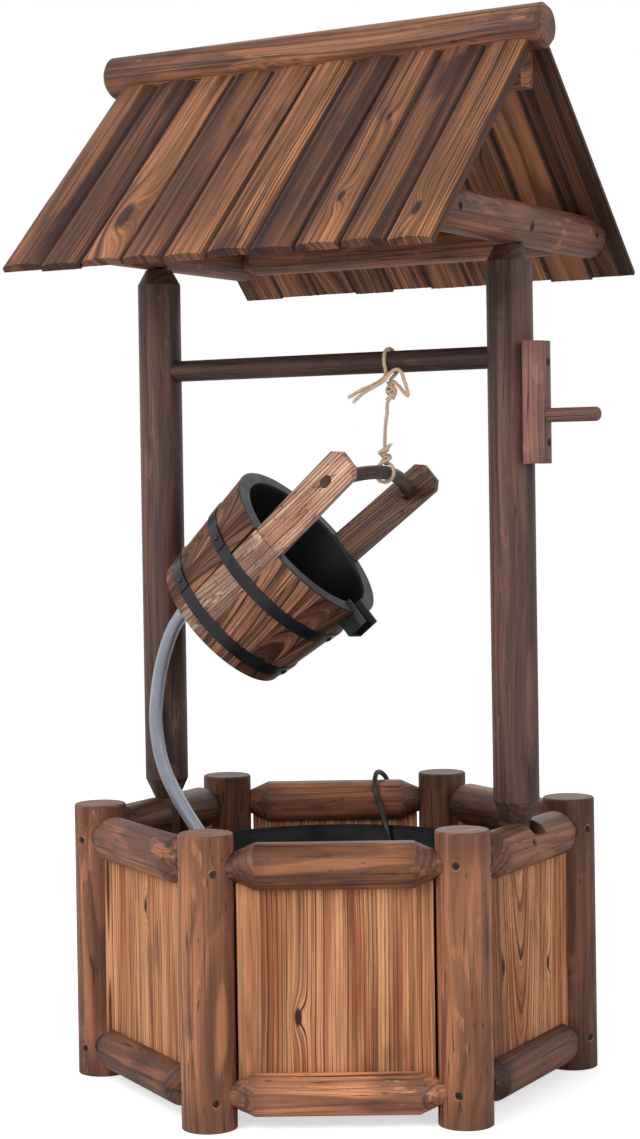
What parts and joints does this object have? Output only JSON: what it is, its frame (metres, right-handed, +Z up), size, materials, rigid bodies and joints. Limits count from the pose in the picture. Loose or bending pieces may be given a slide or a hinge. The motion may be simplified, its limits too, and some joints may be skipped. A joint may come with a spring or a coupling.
{
  "type": "garden fountain",
  "caption": "Wooden wishing-well garden fountain: hexagonal log base with a black basin and pump, gabled board roof, thin rod with a crank, and a tipped bucket that a hose feeds",
  "frame": {"origin": "Centre of the hexagonal base on the ground", "axes": "X along the ridge and the rod, with the crank at +X; Y across, with the viewer's side at -Y; Z up"},
  "size_m": [0.6332, 0.6687, 1.1935],
  "materials": {
    "log_wood": "satin brown stain",
    "panel_wood": "light oiled softwood",
    "dark_wood": "dark brown stain",
    "roof_wood": "dark brown stain, strong grain",
    "stave_wood": "orange-brown varnish",
    "branch_wood": "peeled branch",
    "black_plastic": "moulded, matt",
    "grey_plastic": "moulded, matt",
    "pale_plastic": "moulded, matt",
    "feet_rubber": "soft rubber",
    "band_steel": "black paint, soft sheen",
    "screw_steel": "dark zinc",
    "clear_hose": "clear, slightly blue",
    "jute": "twisted jute",
    "cord_rubber": "black rubber sheath"
  },
  "bodies": {
    "frame": {"post_1": "log_wood", "post_2": "log_wood", "post_3": "log_wood", "post_4": "log_wood", "post_5": "log_wood", "post_6": "log_wood", "top_rail_1": "log_wood", "top_rail_2": "log_wood", "top_rail_3": "log_wood", "top_rail_4": "log_wood", "top_rail_5": "log_wood", "top_rail_6": "log_wood", "bottom_rail_1": "log_wood", "bottom_rail_2": "log_wood", "bottom_rail_3": "log_wood", "bottom_rail_4": "log_wood", "bottom_rail_5": "log_wood", "bottom_rail_6": "log_wood", "panel_1": "panel_wood", "panel_2": "panel_wood", "panel_3": "panel_wood", "panel_4": "panel_wood", "panel_5": "panel_wood", "panel_6": "panel_wood", "upright_left": "dark_wood", "upright_right": "dark_wood", "crank_plate": "log_wood", "crank_peg": "log_wood", "tie_beam_left": "log_wood", "tie_beam_right": "log_wood", "purlin_front": "log_wood", "purlin_rear": "log_wood", "ridge_batten": "roof_wood", "ridge_log": "log_wood", "roof_boards_front": "roof_wood", "roof_boards_rear": "roof_wood", "bucket_staves": "stave_wood", "bucket_base": "stave_wood", "bucket_liner": "black_plastic", "bucket_bands": "band_steel", "band_rivets": "band_steel", "handle_stave_front": "stave_wood", "handle_stave_rear": "stave_wood", "bucket_bail": "branch_wood", "hose_fitting": "black_plastic", "basin": "black_plastic", "pump_body": "black_plastic", "pump_chamber": "black_plastic", "pump_strainer": "black_plastic", "pump_feet": "feet_rubber", "hose": "clear_hose", "rope": "jute", "power_cord": "cord_rubber", "cord_coil": "cord_rubber", "power_plug": "cord_rubber", "post_screws": "screw_steel", "fixing_screws": "screw_steel"},
    "rod": {"windlass_rod": "dark_wood"},
    "rotor": {"pump_impeller": "pale_plastic"},
    "dial": {"pump_dial": "grey_plastic"}
  },
  "joints": [
    {"name": "rod_turn", "type": "hinge", "parent": "frame", "child": "rod", "pos_m": [0, 0, 0.811], "axis": [1, 0, 0], "continuous": true},
    {"name": "rotor_spin", "type": "hinge", "parent": "frame", "child": "rotor", "pos_m": [-0.112, -0.035, 0.031], "axis": [1, 0, 0], "continuous": true},
    {"name": "dial_turn", "type": "hinge", "parent": "frame", "child": "dial", "pos_m": [-0.082, -0.046, 0.021], "axis": [1, 0, 0], "range_deg": [0, 90]}
  ]
}
